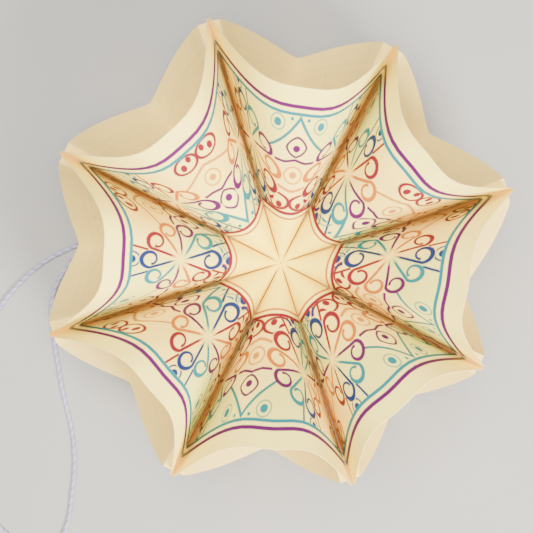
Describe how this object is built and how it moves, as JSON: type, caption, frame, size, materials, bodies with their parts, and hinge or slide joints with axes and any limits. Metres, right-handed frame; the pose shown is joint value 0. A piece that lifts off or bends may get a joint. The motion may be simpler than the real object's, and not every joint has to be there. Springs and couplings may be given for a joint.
{
  "type": "paper star ornament",
  "caption": "Hanging star of hollow printed paper cones, their points together and mouths outward, glued along their side creases, with a thin twisted cord loop.",
  "frame": {"origin": "on the surface that the star lies on, below the point where the eight cones meet", "axes": "+Z out of the star's front, where the printed walls bulge; the cone on -X holds the hanging cord"},
  "size_m": [0.2183, 0.2256, 0.1147],
  "materials": {
    "printed_paper": "matte, printed in soft colours on the outside, plain cream inside",
    "seam_tape": "thin double-sided tape",
    "dried_glue": "dried clear craft glue",
    "cord": "matte twisted cord"
  },
  "bodies": {
    "root": {"paper_cone_1": "printed_paper", "paper_cone_2": "printed_paper", "paper_cone_3": "printed_paper", "paper_cone_4": "printed_paper", "paper_cone_5": "printed_paper", "paper_cone_6": "printed_paper", "paper_cone_7": "printed_paper", "paper_cone_8": "printed_paper", "seam_tape_1": "seam_tape", "seam_tape_2": "seam_tape", "seam_tape_3": "seam_tape", "seam_tape_4": "seam_tape", "seam_tape_5": "seam_tape", "seam_tape_6": "seam_tape", "seam_tape_7": "seam_tape", "seam_tape_8": "seam_tape", "side_glue_1": "dried_glue", "side_glue_2": "dried_glue", "side_glue_3": "dried_glue", "side_glue_4": "dried_glue", "side_glue_5": "dried_glue", "side_glue_6": "dried_glue", "side_glue_7": "dried_glue", "side_glue_8": "dried_glue", "hanging_cord": "cord", "stopper_knot": "cord"}
  },
  "joints": []
}
